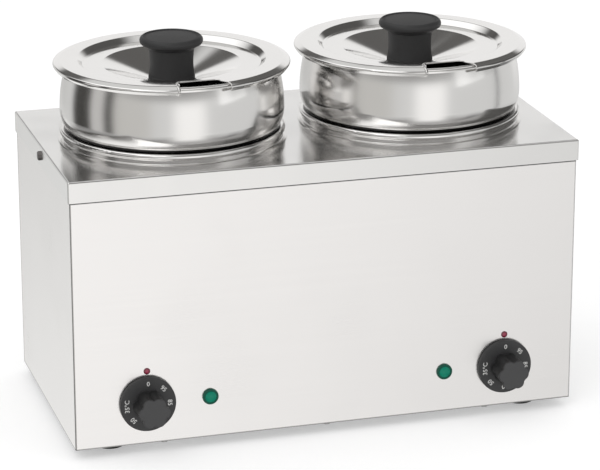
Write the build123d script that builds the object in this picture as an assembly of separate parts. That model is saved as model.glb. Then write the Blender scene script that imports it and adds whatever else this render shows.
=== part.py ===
from build123d import *
import os
from math import cos, radians, sin

# Countertop warmer for hot toppings: a sheet-metal casing with two heated wells. Each well
# holds a lift-out pot with a dished lid, and has its own rotary thermostat and pilot lamp.
# Millimetres. X to the right, Y to the back, Z up. The origin is the centre of the whole
# footprint, on the surface that the feet stand on. Left and right are seen from the front.

# ---- casing
room_at_sides = 13.3  # insulation jacket to the side wall
room_at_front = 9.8  # insulation jacket to the front wall
casing_height = 246.0  # lower edge of the sides to the top face
casing_clearance = 10.0  # table to the lower edge of the sides
sheet = 1.0  # sides, rear and base
cover_sheet = 1.2
cover_skirt = 19.0
cover_edge_radius = 1.8
seam_gap = 0.2  # cover skirt to the sides
bend_radius = 1.6
flange_width = 14.0
corner_relief = 3.0
rear_lip = 14.0
edge_gap = 0.5  # base plate and rear panel to the folded edges
past = 1.0  # how far a cutter runs past a face

# ---- wells and their heating
well_radius = 94.0  # inside
well_depth = 140.0  # cover top to the well floor
well_sheet = 1.0
well_floor_radius = 8.0
collar_lip_width = 8.4  # this and the next two are measured from the well's inner wall
collar_neck_width = 4.6
bead_width = 7.0
collar_neck_height = 5.4
bead_height = 11.0
bead_fillet = 2.4
cover_hole_gap = 0.8
collar_lip_fillet = 0.9
collar_neck_fillet = 1.2
bead_foot_fillet = 1.4
bead_foot_rise = 1.6
jacket_thickness = 10.0
jacket_gap = 0.3
element_tube = 6.5
element_ring_radius = 62.0
element_gap_angle = 36.0
element_leg = 20.0
element_pin_radius = 2.0
element_pin_length = 8.0
clamp_plate_radius = 76.0
clamp_plate_thickness = 2.0
clamp_notch_width = 52.0
clamp_notch_depth = 28.0
clamp_rib_height = 3.0
clamp_rib_radius = 38.0
stud_radius = 4.0
stud_length = 20.0
nut_height = 6.5
nut_across_flats = 13.0
thread_gap = 0.05
cutout_radius = 8.0
cutout_height = 9.0
cutout_flange = 24.0
cutout_offset = 30.0
tab_width = 6.3
tab_thickness = 0.8
tab_length = 9.0

# ---- pots
pot_sheet = 1.0
pot_well_gap = 6.0
pot_depth = 118.0  # cover top to the pot's outer bottom
pot_bottom_radius = 15.0
pot_seat_gap = 0.3
pot_seat_inset = 4.7  # seat to the bead's outer face
pot_crease_flare = 1.1  # flares are measured out from the seat, rises up from it
pot_crease_rise = 3.4
pot_belly_flare = 4.1
pot_belly_rise = 15.7
pot_neck_inset = 1.3
pot_neck_drop = 6.2  # rim down to the narrowest part of the neck
pot_rim_rise = 59.6
pot_rim_bead = 1.6
pot_rim_offset = 4.6  # middle of the rolled rim outside the neck
pot_crease_fillet = 1.5
pot_seat_fillet = 3.0

# ---- lids
lid_sheet = 0.8
lid_overhang = 12.3  # corner of the brim past the pot's neck, before rounding
lid_skirt_taper = 3.8
lid_skirt_drop = 7.2
lid_rest_gap = 0.3
lid_spacing = 8.4  # between the corners of the two lids
brim_roll_width = 7.8  # outer part of the brim that rolls down
brim_roll_drop = 1.5
brim_roll_fillet = 10.0
lid_edge_fillet = 2.6
recess_fillet = 1.6
dish_edge_fillet = 3.2
dish_floor_fillet = 2.2
brim_width = 23.0
recess_slope = 5.0
recess_depth = 4.8
ring_width = 17.0
dish_floor_margin = 1.2  # round the knob
dish_depth = 13.2
lid_turn = 1.2  # each lid is turned a little in its pot
notch_past_recess = 1.0
notch_half_width = 19.3
notch_corner = 5.0
notch_flare_length = 15.0
notch_flare_radius = 18.0
notch_run_out = 10.0  # past the lid's edge
notch_hem_width = 1.2
notch_hem_proud = 0.4

# ---- lid knobs
knob_height = 37.5
knob_base_radius = 20.8
knob_step = 1.6
knob_step_width = 0.5
knob_waist_radius = 19.4
knob_waist_height = 13.0
knob_neck_radius = 20.4
knob_neck_drop = 11.2  # drops are measured down from the top
knob_cap_radius = 28.3
knob_cap_drop = 3.9
knob_lip_inset = 1.05
knob_lip_drop = 6.6
knob_under_reach = 3.15
knob_under_drop = 8.7
knob_face_radius = 24.8
knob_groove = 0.9
knob_crown = 0.6
knob_screw_radius = 2.5
knob_screw_depth = 12.0
knob_screw_short = 2.0  # screw end to the bottom of its bore
knob_screw_head_radius = 4.75
knob_screw_head_height = 3.0
washer_radius = 9.0
washer_thickness = 1.2
washer_hole_gap = 0.3

# ---- thermostats and their control knobs
control_inset = 66.5  # dial axis to the casing's side
control_height = 38.0  # above the casing's lower edge
control_gap = 0.6  # knob to panel
skirt_radius = 25.0
skirt_thickness = 4.0
skirt_roof = 1.4
skirt_edge = 0.8
grip_reach = 28.0  # panel to the front of the grip
grip_radius = 14.2
grip_lobe_radius = 5.6
grip_valley_fillet = 3.0
grip_edge = 1.0
grip_hollow_radius = 9.6
grip_front_wall = 3.0
boss_radius = 5.4
shaft_radius = 3.0
shaft_flat = 1.5  # from the axis to the flat
shaft_front = 22.0
shaft_inside = 20.0
shaft_bore_gap = 0.05
panel_shaft_hole = 5.0
thermostat_plate = (44.0, 30.0, 1.5)
thermostat_case = (36.0, 38.0, 30.0)
thermostat_case_fillet = 3.0
thermostat_screw_spacing = 28.0
bulb_radius = 3.0
bulb_length = 75.0
bulb_offset = 12.0
capillary_radius = 0.8
capillary_bend = 5.0
capillary_drop_gap = 10.0  # clamp plate to the falling run
capillary_slope = 6.0
capillary_stand_off = 22.0  # behind the thermostat's case
capillary_lean = 2.0

# ---- pilot lamps and index marks
lamp_spacing = 57.0  # lamp to the dial's axis
lamp_radius = 7.25
lamp_rim = 2.0
lamp_rim_fillet = 0.6
lamp_dome_radius = 5.4
lamp_groove = 0.3
lamp_crown = 1.4
lamp_barrel_radius = 5.6
lamp_barrel_wall = 1.1
lamp_barrel_length = 22.0
lamp_hole_gap = 0.4
lamp_nut_height = 3.0
lamp_nut_across_flats = 15.0
lamp_stem_length = 6.0
mark_rise = 29.7  # above the dial's axis
mark_radius = 3.0
mark_rim = 0.2
mark_crown = 0.5
mark_stem_radius = 1.4
mark_stem_length = 3.0

# ---- screws (M4) and feet
screw_radius = 2.0
screw_head_radius = 4.2
screw_head_height = 2.4
low_head_radius = 3.4
low_head_height = 1.8
head_round = 0.45  # of the head's height
slot_length = 1.3  # of the head's radius
slot_width = 0.35  # of the shank's radius
slot_depth = 0.3  # of the head's height
screw_length = 8.0
hole_gap = 0.2
screw_nut_height = 3.2
screw_nut_across_flats = 7.0
cover_screw_drop = 9.5  # below the top face
rear_screw_rise = 30.0  # above the casing's lower edge
rear_screw_drop = 46.0  # below the top face
base_screw_inset = 82.5  # outer base screws to the casing's sides
foot_radius = 14.0
foot_edge = 2.5
foot_inset_x = 39.0
foot_inset_y = 33.0
foot_recess_radius = 6.0
foot_recess_depth = 4.5
foot_screw_length = 12.0

# ---- supply entry
gland_x = 60.0
gland_height = 34.0  # above the casing's lower edge
gland_reach = 22.0  # behind the rear panel
gland_thread_radius = 8.0
gland_thread_length = 12.0
gland_hex = 22.0
gland_hex_height = 5.0
gland_neck_radius = 9.2
gland_mouth_radius = 7.0
gland_cap_taper = 0.8
gland_shoulder_height = 15.0
gland_crown = (8.6, 19.5)
gland_bore_radius = 4.2
gland_hole_gap = 0.2
locknut_height = 4.0
block_size = (34.0, 24.0, 16.0)
block_x = 0.0
block_inset = 51.1  # block's middle to the rear panel
block_screw_spacing = 22.0
block_port_radius = 2.4
block_port_depth = 8.0
block_terminal_spacing = 10.0
block_chamfer = 1.5
earth_x = 100.0
earth_inset = 31.1  # stud to the rear panel
earth_radius = 2.5
earth_length = 16.0
earth_nut_height = 4.0
earth_nut_across_flats = 8.0
vent_length = 44.0
vent_width = 5.0
vent_pitch = 12.0
vent_count = 5
lead_radius = 1.3
lead_bend = 9.0
lead_tight_bend = 7.0
block_lead_run = 25.0
supply_lead_run = 30.0
element_lead_run = 16.0
element_lead_drop = 22.0

# ---- pots and lids follow from the wells; heights are above the cover
collar_lip_radius = well_radius + collar_lip_width
collar_neck_radius = well_radius + collar_neck_width
bead_radius = well_radius + bead_width
pot_body_radius = well_radius - pot_well_gap
pot_seat = bead_height + pot_seat_gap
pot_seat_radius = bead_radius - pot_seat_inset
pot_neck_radius = pot_seat_radius - pot_neck_inset
pot_rim_radius = pot_neck_radius + pot_rim_offset
pot_rim_height = pot_seat + pot_rim_rise
lid_radius = pot_neck_radius + lid_overhang
recess_mouth_radius = lid_radius - brim_width
recess_radius = recess_mouth_radius - recess_slope
dish_radius = recess_radius - ring_width
dish_floor_radius = knob_base_radius + dish_floor_margin
lid_brim = pot_rim_height + lid_rest_gap + lid_sheet
lid_skirt_height = lid_brim - lid_skirt_drop
recess_floor = lid_brim - recess_depth
dish_floor = recess_floor - dish_depth

# ---- the casing is built round the wells
well_x = lid_radius + lid_spacing / 2
jacket_inner = well_radius + well_sheet + jacket_gap
jacket_outer = jacket_inner + jacket_thickness
overhang = cover_sheet + seam_gap
shell_width = 2 * (well_x + jacket_outer + room_at_sides + sheet)
shell_depth = 2 * (jacket_outer + room_at_front + sheet)
casing_width = shell_width + 2 * overhang
casing_depth = shell_depth + 2 * overhang
casing_y = (grip_reach - gland_reach) / 2
panel_front = casing_y - shell_depth / 2
panel_rear = casing_y + shell_depth / 2
cover_top = casing_clearance + casing_height
cover_underside = cover_top - cover_sheet
base_plate_bottom = casing_clearance + sheet
base_plate_top = base_plate_bottom + sheet
well_floor = cover_top - well_depth
well_underside = well_floor - well_sheet
clamp_plate_top = well_underside - element_tube
clamp_plate_bottom = clamp_plate_top - clamp_plate_thickness
control_z = casing_clearance + control_height
mark_z = control_z + mark_rise
control_x = casing_width / 2 - control_inset
lamp_x = control_x - lamp_spacing
block_y = panel_rear - block_inset
earth_y = panel_rear - earth_inset
sides = {"left": -1, "right": 1}


def place(x, y, z):
    """A frame at this point with the part's own axes."""
    return Pos(x, y, z)


def on_panel(x, z):
    """A frame on the front panel with Z pointing out to the front and Y up."""
    return Pos(x, panel_front, z) * Rot(X=90)


def on_rear(x, z):
    """A frame on the rear panel with Z pointing out to the back and Y down."""
    return Pos(x, panel_rear, z) * Rot(X=-90)


def rod(radius, bottom, top):
    """A cylinder about Z between two heights."""
    return Pos(0, 0, bottom) * extrude(Circle(radius), top - bottom)


def turned(*edges):
    """A solid turned about Z from the closed outline that these edges bound."""
    return revolve(Plane.XZ * make_face(edges), Axis.Z)


def crown(radius, height, rise):
    """The arc of a shallow round crown from its edge at this radius and height to the axis."""
    return TangentArc((0, height + rise), (radius, height), tangent=(1, 0))


def turned_sheet(path, thickness, side):
    """A shell turned about Z; the path is its outer face and the sheet lies on one side of it."""
    return revolve(Plane.XZ * make_face(offset(path, amount=thickness, side=side)), Axis.Z)


def hexagon(across_flats, height):
    """A hexagonal prism standing on the origin."""
    return extrude(RegularPolygon(across_flats / 2, 6, major_radius=False), height)


def screw(radius, head_radius, head_height, length):
    """A pan-head screw with its head on +Z and its seat at the origin."""
    head = rod(head_radius, 0, head_height)
    head = fillet(head.edges().group_by(Axis.Z)[-1], head_round * head_height)
    slot = Pos(0, 0, head_height) * Box(slot_length * head_radius, slot_width * radius,
                                        2 * slot_depth * head_height)
    return head - slot + rod(radius, -length, 0)


def small_screw(length=screw_length):
    """The M4 screw that holds the sheet parts."""
    return screw(screw_radius, screw_head_radius, screw_head_height, length)


def nut(across_flats, height, hole_radius):
    """A hexagonal nut standing on the origin."""
    body = hexagon(across_flats, height)
    return body - rod(hole_radius, -past, height + past)


def group(pieces):
    """Several separate solids kept in one node."""
    return Compound([solid for piece in pieces for solid in piece.solids()])


# ---------------------------------------------------------------- casing

def front_and_sides_shell():
    """Front and both sides folded from one sheet, with lips at the rear and bottom flanges."""
    depth = shell_depth - sheet
    centre_y = casing_y - sheet / 2
    outer = RectangleRounded(shell_width, depth, bend_radius)
    inner = RectangleRounded(shell_width - 2 * sheet, depth - 2 * sheet, bend_radius - sheet)
    opening = Pos(0, depth / 2) * Rectangle(shell_width - 2 * rear_lip, 4 * sheet)
    wall = extrude(outer - inner - opening, cover_underside - casing_clearance)
    front_flange = Pos(0, -depth / 2 + flange_width / 2, sheet / 2) * Box(
        shell_width - 2 * (flange_width + corner_relief), flange_width, sheet)
    side_flanges = [
        Pos(side * (shell_width - flange_width) / 2, 0, sheet / 2)
        * Box(flange_width, depth - 2 * (flange_width + corner_relief), sheet)
        for side in sides.values()
    ]
    shell = place(0, centre_y, casing_clearance) * (wall + front_flange + side_flanges)
    for side in sides.values():
        shell -= on_panel(side * control_x, control_z) * rod(panel_shaft_hole, -2 * sheet, sheet)
        for offset_x in (-thermostat_screw_spacing / 2, thermostat_screw_spacing / 2):
            shell -= (on_panel(side * control_x + offset_x, control_z)
                      * rod(screw_radius + hole_gap, -2 * sheet, sheet))
        shell -= on_panel(side * lamp_x, control_z) * rod(
            lamp_barrel_radius + lamp_hole_gap, -2 * sheet, sheet)
        shell -= on_panel(side * control_x, mark_z) * rod(
            mark_stem_radius + thread_gap, -2 * sheet, sheet)
    for frame in cover_screw_frames():
        shell -= frame * rod(screw_radius + thread_gap, -screw_length, 0)
    for frame in rear_screw_frames():
        shell -= frame * rod(screw_radius + thread_gap, -screw_length, 0)
    for frame in base_screw_frames():
        shell -= frame * rod(screw_radius + hole_gap, -2 * sheet, sheet)
    return shell


def rear_panel():
    """Flat rear panel with a bottom flange, a hole for the cable gland and screw holes."""
    height = cover_underside - casing_clearance - edge_gap
    plate = Pos(0, panel_rear - sheet / 2, casing_clearance + height / 2) * Box(
        shell_width, sheet, height)
    flange_length = shell_width - 2 * (rear_lip + corner_relief)
    flange = Pos(0, panel_rear - flange_width / 2, casing_clearance + sheet / 2) * Box(
        flange_length, flange_width, sheet)
    panel = plate + flange
    panel -= on_rear(gland_x, casing_clearance + gland_height) * rod(
        gland_thread_radius + gland_hole_gap, -2 * sheet, sheet)
    for frame in rear_screw_frames():
        panel -= frame * rod(screw_radius + hole_gap, -2 * sheet, sheet)
    for frame in base_screw_frames():
        panel -= frame * rod(screw_radius + hole_gap, -2 * sheet, sheet)
    return panel


def top_cover():
    """Cap over the casing: top sheet with a folded skirt all round and a hole for each well."""
    cap = Pos(0, casing_y, cover_top - cover_skirt / 2) * Box(
        casing_width, casing_depth, cover_skirt)
    cap = fillet(cap.edges().filter_by(Axis.Z), cover_sheet)
    cap = fillet(cap.edges().group_by(Axis.Z)[-1], cover_edge_radius)
    hollow = Pos(0, casing_y, cover_underside - cover_skirt / 2) * Box(
        casing_width - 2 * cover_sheet, casing_depth - 2 * cover_sheet, cover_skirt)
    cover = cap - hollow
    hole_radius = well_radius + well_sheet + cover_hole_gap
    for side in sides.values():
        cover -= place(side * well_x, casing_y, cover_top) * rod(hole_radius, -2 * cover_sheet, past)
    for frame in cover_screw_frames():
        cover -= frame * rod(screw_radius + hole_gap, -2 * cover_sheet, past)
    return cover


def base_plate():
    """Floor of the casing, with vent slots under each well, on the folded bottom flanges."""
    width = shell_width - 2 * (sheet + edge_gap)
    front = panel_front + sheet + edge_gap
    back = panel_rear - 2 * sheet - edge_gap
    plate = Pos(0, (front + back) / 2, base_plate_bottom + sheet / 2) * Box(
        width, back - front, sheet)
    slot = extrude(SlotOverall(vent_length, vent_width), 4 * sheet, both=True)
    for side in sides.values():
        for index in range(vent_count):
            y = casing_y + (index - (vent_count - 1) / 2) * vent_pitch
            plate -= place(side * well_x, y, base_plate_bottom) * slot
    for x, y in foot_places():
        plate -= place(x, y, base_plate_bottom) * rod(screw_radius + hole_gap, -past,
                                                           sheet + past)
    for frame in base_screw_frames():
        plate -= frame * rod(screw_radius + thread_gap, -3 * sheet, 0)
    for x in (-block_screw_spacing / 2, block_screw_spacing / 2):
        plate -= place(block_x + x, block_y, base_plate_bottom) * rod(
            screw_radius + thread_gap, -past, sheet + past)
    plate -= place(earth_x, earth_y, base_plate_bottom) * rod(
        earth_radius + thread_gap, -past, sheet + past)
    return plate


def cover_screw_frames():
    """Frames of the two screws at mid depth in the cover's skirt, Z pointing outwards."""
    z = cover_top - cover_screw_drop
    return [Pos(side * casing_width / 2, casing_y, z) * Rot(Y=90 * side)
            for side in sides.values()]


def rear_screw_frames():
    """Frames of the rear panel's screws, in the middle of the folded lips."""
    return [on_rear(side * (shell_width - rear_lip) / 2, casing_clearance + height)
            for side in sides.values()
            for height in (rear_screw_rise, casing_height - rear_screw_drop)]


def base_screw_frames():
    """Frames of the screws that hold the base plate from below, Z pointing down."""
    front = panel_front + flange_width / 2
    back = panel_rear - flange_width / 2
    outer = casing_width / 2 - base_screw_inset
    return [Pos(x, y, casing_clearance) * Rot(X=180)
            for x in (-outer, 0, outer) for y in (front, back)]


def foot_places():
    """Centres of the four feet."""
    x = casing_width / 2 - foot_inset_x
    y = casing_depth / 2 - foot_inset_y
    return [(side * x, casing_y + end * y) for end in (-1, 1) for side in (-1, 1)]


def foot():
    """Round foot with a recess from below for its screw."""
    body = rod(foot_radius, 0, base_plate_bottom)
    body = fillet(body.edges().group_by(Axis.Z)[0], foot_edge)
    body -= rod(foot_recess_radius, -past, foot_recess_depth)
    return body - rod(screw_radius + hole_gap, 0, base_plate_bottom + past)


def foot_screws():
    """One screw up through each foot and the base plate."""
    head_up = Rot(X=180) * small_screw(foot_screw_length)
    return group([place(x, y, foot_recess_depth) * head_up for x, y in foot_places()])


def foot_nuts():
    """The nuts of the foot screws, on the base plate."""
    piece = nut(screw_nut_across_flats, screw_nut_height, screw_radius + thread_gap)
    return group([place(x, y, base_plate_top) * piece for x, y in foot_places()])


# ---------------------------------------------------------------- wells and heating

def well():
    """Deep-drawn well with a rolled bead and a lip that lies on the cover; Z 0 is the cover."""
    face = FilletPolyline(
        (collar_lip_radius, well_sheet),
        (collar_neck_radius, well_sheet),
        (collar_neck_radius, collar_neck_height),
        (bead_radius, collar_neck_height + bead_foot_rise),
        (bead_radius, bead_height),
        (well_radius, bead_height),
        (well_radius, -well_depth),
        (0, -well_depth),
        radius=[collar_lip_fillet, collar_neck_fillet, bead_foot_fillet,
                bead_fillet, bead_fillet, well_floor_radius],
    )
    return turned_sheet(face, well_sheet, Side.LEFT)


def insulation_jacket():
    """Sleeve of insulation round the well, from the well's floor to the cover."""
    return rod(jacket_outer, -well_depth, -cover_sheet - jacket_gap) - rod(
        jacket_inner, -well_depth - past, 0)


def heater_element():
    """Open ring of tubular heater with both ends bent down; Z 0 is the well's underside."""
    tube = element_tube / 2
    half_gap = element_gap_angle / 2
    start = -90 + half_gap
    section = Pos(element_ring_radius, 0, -tube) * Rot(X=90) * Circle(tube)
    ring = Rot(Z=start) * revolve(section, Axis.Z, 360 - element_gap_angle)
    element = ring
    for side in sides.values():
        x = side * element_ring_radius * sin(radians(half_gap))
        y = -element_ring_radius * cos(radians(half_gap))
        element += place(x, y, -tube) * (Sphere(tube) + rod(tube, -element_leg, 0)
                                         + rod(element_pin_radius,
                                               -element_leg - element_pin_length, 0))
    return element


def heater_clamp_plate():
    """Disc that presses the element and the sensor bulb against the well, with a stiffening rib."""
    disc = rod(clamp_plate_radius, -clamp_plate_thickness, 0)
    rib = rod(clamp_rib_radius + clamp_plate_thickness, -clamp_rib_height - clamp_plate_thickness,
              -clamp_plate_thickness) - rod(clamp_rib_radius, -2 * clamp_rib_height
                                            - clamp_plate_thickness, -clamp_plate_thickness)
    notch = Pos(0, -clamp_plate_radius + clamp_notch_depth / 2, 0) * Box(
        clamp_notch_width, clamp_notch_depth, 4 * clamp_plate_thickness)
    return disc + rib - notch - rod(stud_radius + hole_gap, -4 * clamp_plate_thickness, past)


def overheat_cutout():
    """Bimetal cut-out under the clamp plate: flange, round can and two push-on tabs."""
    flange = Pos(0, 0, -tab_thickness / 2) * extrude(
        SlotOverall(cutout_flange, cutout_radius), tab_thickness / 2, both=True)
    can = rod(cutout_radius, -cutout_height, 0)
    tabs = [Pos(side * cutout_radius / 2, 0, -cutout_height - tab_length / 2)
            * Box(tab_thickness, tab_width, tab_length) for side in sides.values()]
    return flange + can + tabs


# ---------------------------------------------------------------- pots and lids

def pot():
    """Bellied pot head that sits on the well's bead, with a straight body hanging in the well."""
    rim_z = pot_rim_height - pot_rim_bead
    belly = (pot_seat_radius + pot_belly_flare, pot_seat + pot_belly_rise)
    crease = (pot_seat_radius + pot_crease_flare, pot_seat + pot_crease_rise)
    upper = TangentArc(belly, (pot_neck_radius, pot_rim_height - pot_neck_drop), tangent=(0, 1))
    flare = TangentArc(upper @ 1, (pot_rim_radius, rim_z - pot_sheet / 2), tangent=upper % 1)
    lower = TangentArc(belly, crease, tangent=(0, -1))
    body = FilletPolyline(
        crease,
        (pot_seat_radius, pot_seat),
        (pot_body_radius, pot_seat),
        (pot_body_radius, -pot_depth),
        (0, -pot_depth),
        radius=[pot_crease_fillet, pot_seat_fillet, pot_bottom_radius],
    )
    face = Wire([flare.edge(), upper.edge(), lower.edge(), *body.edges()])
    shell = turned_sheet(face, pot_sheet, Side.LEFT)
    bead = revolve(Pos(pot_rim_radius, 0, rim_z) * Rot(X=90)
                   * Circle(pot_rim_bead), Axis.Z)
    return shell + bead


def lid_path():
    """Outer face of the lid from the edge of its skirt to its centre."""
    return FilletPolyline(
        (lid_radius - lid_skirt_taper, lid_skirt_height),
        (lid_radius, lid_brim - brim_roll_drop),
        (lid_radius - brim_roll_width, lid_brim),
        (recess_mouth_radius, lid_brim),
        (recess_radius, recess_floor),
        (dish_radius, recess_floor),
        (dish_floor_radius, dish_floor),
        (0, dish_floor),
        radius=[lid_edge_fillet, brim_roll_fillet, recess_fillet, recess_fillet,
                dish_edge_fillet, dish_floor_fillet],
    )


def notch_outline(grow):
    """Ladle notch seen from above, open to the front, widened by this much all round."""
    half = notch_half_width + grow
    flare = notch_flare_radius - grow
    reach = recess_radius - notch_past_recess - grow
    flare_start = lid_radius - notch_flare_length
    beyond = lid_radius + notch_run_out
    slot = Pos(0, -(reach + beyond) / 2) * Rectangle(2 * half, beyond - reach)
    slot = fillet(slot.vertices().group_by(Axis.Y)[-1], notch_corner + grow)
    flank = notch_half_width + notch_flare_radius
    depth = beyond - flare_start
    for side in sides.values():
        wedge = Pos(side * (half + flank) / 2, -flare_start - depth / 2) * Rectangle(
            flank - half, depth)
        slot += wedge - Pos(side * flank, -flare_start) * Circle(flare)
    return slot


def lid():
    """Pressed lid with a rolled skirt, a stepped dish for the knob and a hemmed ladle notch."""
    face = lid_path()
    plate = turned_sheet(face, lid_sheet, Side.LEFT)
    below = lid_skirt_height - notch_corner
    above = lid_brim + notch_corner
    cut = Pos(0, 0, below) * extrude(notch_outline(0), above - below)
    plate -= cut
    hem_zone = Pos(0, 0, below) * extrude(notch_outline(notch_hem_width), above - below) - cut
    plate += turned_sheet(face, notch_hem_proud, Side.RIGHT) & hem_zone
    plate -= rod(knob_screw_radius + washer_hole_gap, 0, lid_brim)
    return Rot(Z=lid_turn) * plate


def lid_knob():
    """Mushroom-shaped moulded knob; Z 0 is its seat in the dish."""
    step_top = knob_step
    neck_start = knob_base_radius - knob_step_width
    cap_lip = (knob_cap_radius - knob_lip_inset, knob_height - knob_lip_drop)
    base = Polyline((0, 0), (knob_base_radius, 0), (knob_base_radius, step_top),
                    (neck_start, step_top + knob_step_width))
    neck = ThreePointArc((neck_start, step_top + knob_step_width),
                         (knob_waist_radius, knob_waist_height),
                         (knob_neck_radius, knob_height - knob_neck_drop))
    under_cap = ThreePointArc((knob_neck_radius, knob_height - knob_neck_drop),
                              (knob_neck_radius + knob_under_reach,
                               knob_height - knob_under_drop), cap_lip)
    edge = ThreePointArc(cap_lip, (knob_cap_radius, knob_height - knob_cap_drop),
                         (knob_face_radius + knob_groove, knob_height))
    groove = Polyline((knob_face_radius + knob_groove, knob_height),
                      (knob_face_radius, knob_height - knob_groove),
                      (knob_face_radius - knob_groove, knob_height - knob_groove))
    face = crown(knob_face_radius - knob_groove, knob_height - knob_groove, knob_crown)
    axis = Line((0, knob_height - knob_groove + knob_crown), (0, 0))
    body = turned(base, neck, under_cap, edge, groove, face, axis)
    return body - rod(knob_screw_radius + thread_gap, -past, knob_screw_depth)


def lid_knob_washer():
    """Washer under the lid's dish; Z 0 is its upper face."""
    return rod(washer_radius, -washer_thickness, 0) - rod(
        knob_screw_radius + washer_hole_gap, -2 * washer_thickness, past)


def lid_knob_screw():
    """Screw up through the washer and the dish into the knob; Z 0 is the head's seat."""
    length = washer_thickness + lid_sheet + knob_screw_depth - knob_screw_short
    return Rot(X=180) * screw(knob_screw_radius, knob_screw_head_radius,
                              knob_screw_head_height, length)


# ---------------------------------------------------------------- controls

def grip_outline():
    """Six-lobed outline of the control knob's grip."""
    lobe_place = grip_radius - grip_lobe_radius
    outline = Circle(lobe_place)
    outline += [loc * Circle(grip_lobe_radius) for loc in PolarLocations(lobe_place, 6)]
    return fillet(outline.vertices(), grip_valley_fillet)


def control_knob():
    """Moulded knob: dial skirt, lobed grip, hollow back and a boss with a D-bore."""
    skirt = rod(skirt_radius, control_gap, control_gap + skirt_thickness)
    skirt = fillet(skirt.edges().group_by(Axis.Z)[-1], skirt_edge)
    recess_top = control_gap + skirt_thickness - skirt_roof
    skirt -= rod(skirt_radius - skirt_roof, 0, recess_top)
    grip = Pos(0, 0, recess_top) * extrude(grip_outline(), grip_reach - recess_top)
    grip = fillet(grip.edges().group_by(Axis.Z)[-1], grip_edge)
    knob = skirt + grip
    knob -= rod(grip_hollow_radius, 0, grip_reach - grip_front_wall)
    knob += rod(boss_radius, recess_top, grip_reach - grip_front_wall)
    return knob - d_profile(shaft_bore_gap, 0, shaft_front + shaft_bore_gap)


def d_profile(gap, bottom, top):
    """A round bar about Z with a flat along its lower side, all faces moved out by the gap."""
    radius = shaft_radius + gap
    flat = shaft_flat + gap
    bar = Circle(radius) - Pos(0, -flat - radius) * Rectangle(2 * radius, 2 * radius)
    return Pos(0, 0, bottom) * extrude(bar, top - bottom)


def thermostat_shaft():
    """Turning shaft: round in the thermostat, with a flat where the knob sits."""
    return rod(shaft_radius, -shaft_inside, control_gap) + d_profile(0, control_gap, shaft_front)


def thermostat_body():
    """Capillary thermostat behind the panel: mounting plate, moulded case and push-on tabs."""
    width, height, thickness = thermostat_plate
    case_width, case_height, case_depth = thermostat_case
    plate = Pos(0, 0, -sheet - thickness / 2) * Box(width, height, thickness)
    case = Pos(0, 0, -sheet - thickness - case_depth / 2) * Box(
        case_width, case_height, case_depth)
    case = fillet(case.edges().filter_by(Axis.Z), thermostat_case_fillet)
    tabs = [Pos(side * case_width / 4, case_height / 4,
                -sheet - thickness - case_depth - tab_length / 2)
            * Box(tab_width, tab_thickness, tab_length) for side in sides.values()]
    body = plate + case + tabs
    body -= rod(shaft_radius + shaft_bore_gap, -shaft_inside - shaft_bore_gap, 0)
    for x in (-thermostat_screw_spacing / 2, thermostat_screw_spacing / 2):
        body -= Pos(x, 0, 0) * rod(screw_radius + thread_gap, -sheet - screw_length, 0)
    return body


def thermostat_screws():
    """Two low-head screws for each thermostat, hidden under the dial skirt."""
    piece = screw(screw_radius, low_head_radius, low_head_height, screw_length - sheet)
    return group([on_panel(side * control_x + x, control_z) * piece
                  for side in sides.values()
                  for x in (-thermostat_screw_spacing / 2, thermostat_screw_spacing / 2)])


def pilot_lens():
    """Round lens with a raised rim, a low dome and a stem that plugs into the lamp."""
    rim = rod(lamp_radius, 0, lamp_rim)
    rim = fillet(rim.edges().group_by(Axis.Z)[-1], lamp_rim_fillet)
    rim -= rod(lamp_dome_radius, lamp_rim / 2, lamp_rim + past)
    dome_radius = lamp_dome_radius - lamp_groove
    dome = turned(Polyline((0, lamp_rim + lamp_crown), (0, 0), (dome_radius, 0),
                           (dome_radius, lamp_rim)),
                  crown(dome_radius, lamp_rim, lamp_crown))
    stem = rod(lamp_barrel_radius - lamp_barrel_wall - thread_gap, -lamp_stem_length, 0)
    return rim + dome + stem


def pilot_body():
    """Lamp barrel through the panel, with a socket for the lens and two tabs behind."""
    barrel = rod(lamp_barrel_radius, -lamp_barrel_length, 0)
    socket = rod(lamp_barrel_radius - lamp_barrel_wall, -lamp_stem_length - past, past)
    tabs = [Pos(side * lamp_barrel_radius / 2, 0, -lamp_barrel_length - tab_length / 2)
            * Box(tab_thickness, tab_width / 2, tab_length) for side in sides.values()]
    return barrel - socket + tabs


def index_marker():
    """Small domed marker above the dial, with a stem pressed into the panel."""
    head = turned(Polyline((0, mark_rim + mark_crown), (0, 0), (mark_radius, 0),
                           (mark_radius, mark_rim)),
                  crown(mark_radius, mark_rim, mark_crown))
    return head + rod(mark_stem_radius, -mark_stem_length, 0)


def thermostat_bulb():
    """Sensor bulb along Y, pressed between the clamp plate and the well."""
    return Rot(X=90) * extrude(Circle(bulb_radius), bulb_length / 2, both=True)


def capillary(side):
    """Thin tube from the front end of the bulb down to the back of the thermostat."""
    bulb_x = side * (well_x + bulb_offset)
    bulb_z = well_underside - element_tube / 2
    start_y = casing_y - bulb_length / 2
    drop_y = casing_y - clamp_plate_radius - capillary_drop_gap
    back_y = panel_front + sheet + thermostat_plate[2] + thermostat_case[2]
    level = (bulb_z + control_z + thermostat_case[1] / 2) / 2
    entry_z = control_z - thermostat_case[1] / 4
    path = FilletPolyline(
        (bulb_x, start_y, bulb_z),
        (bulb_x, drop_y, bulb_z),
        (bulb_x, drop_y + capillary_slope, level),
        (side * control_x, back_y + capillary_stand_off, level - capillary_slope),
        (side * control_x, back_y + capillary_stand_off - capillary_lean, entry_z),
        (side * control_x, back_y, entry_z),
        radius=capillary_bend,
    )
    section = Plane(origin=path @ 0, z_dir=path % 0) * Circle(capillary_radius)
    return sweep(section, path=path)


# ---------------------------------------------------------------- supply

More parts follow.
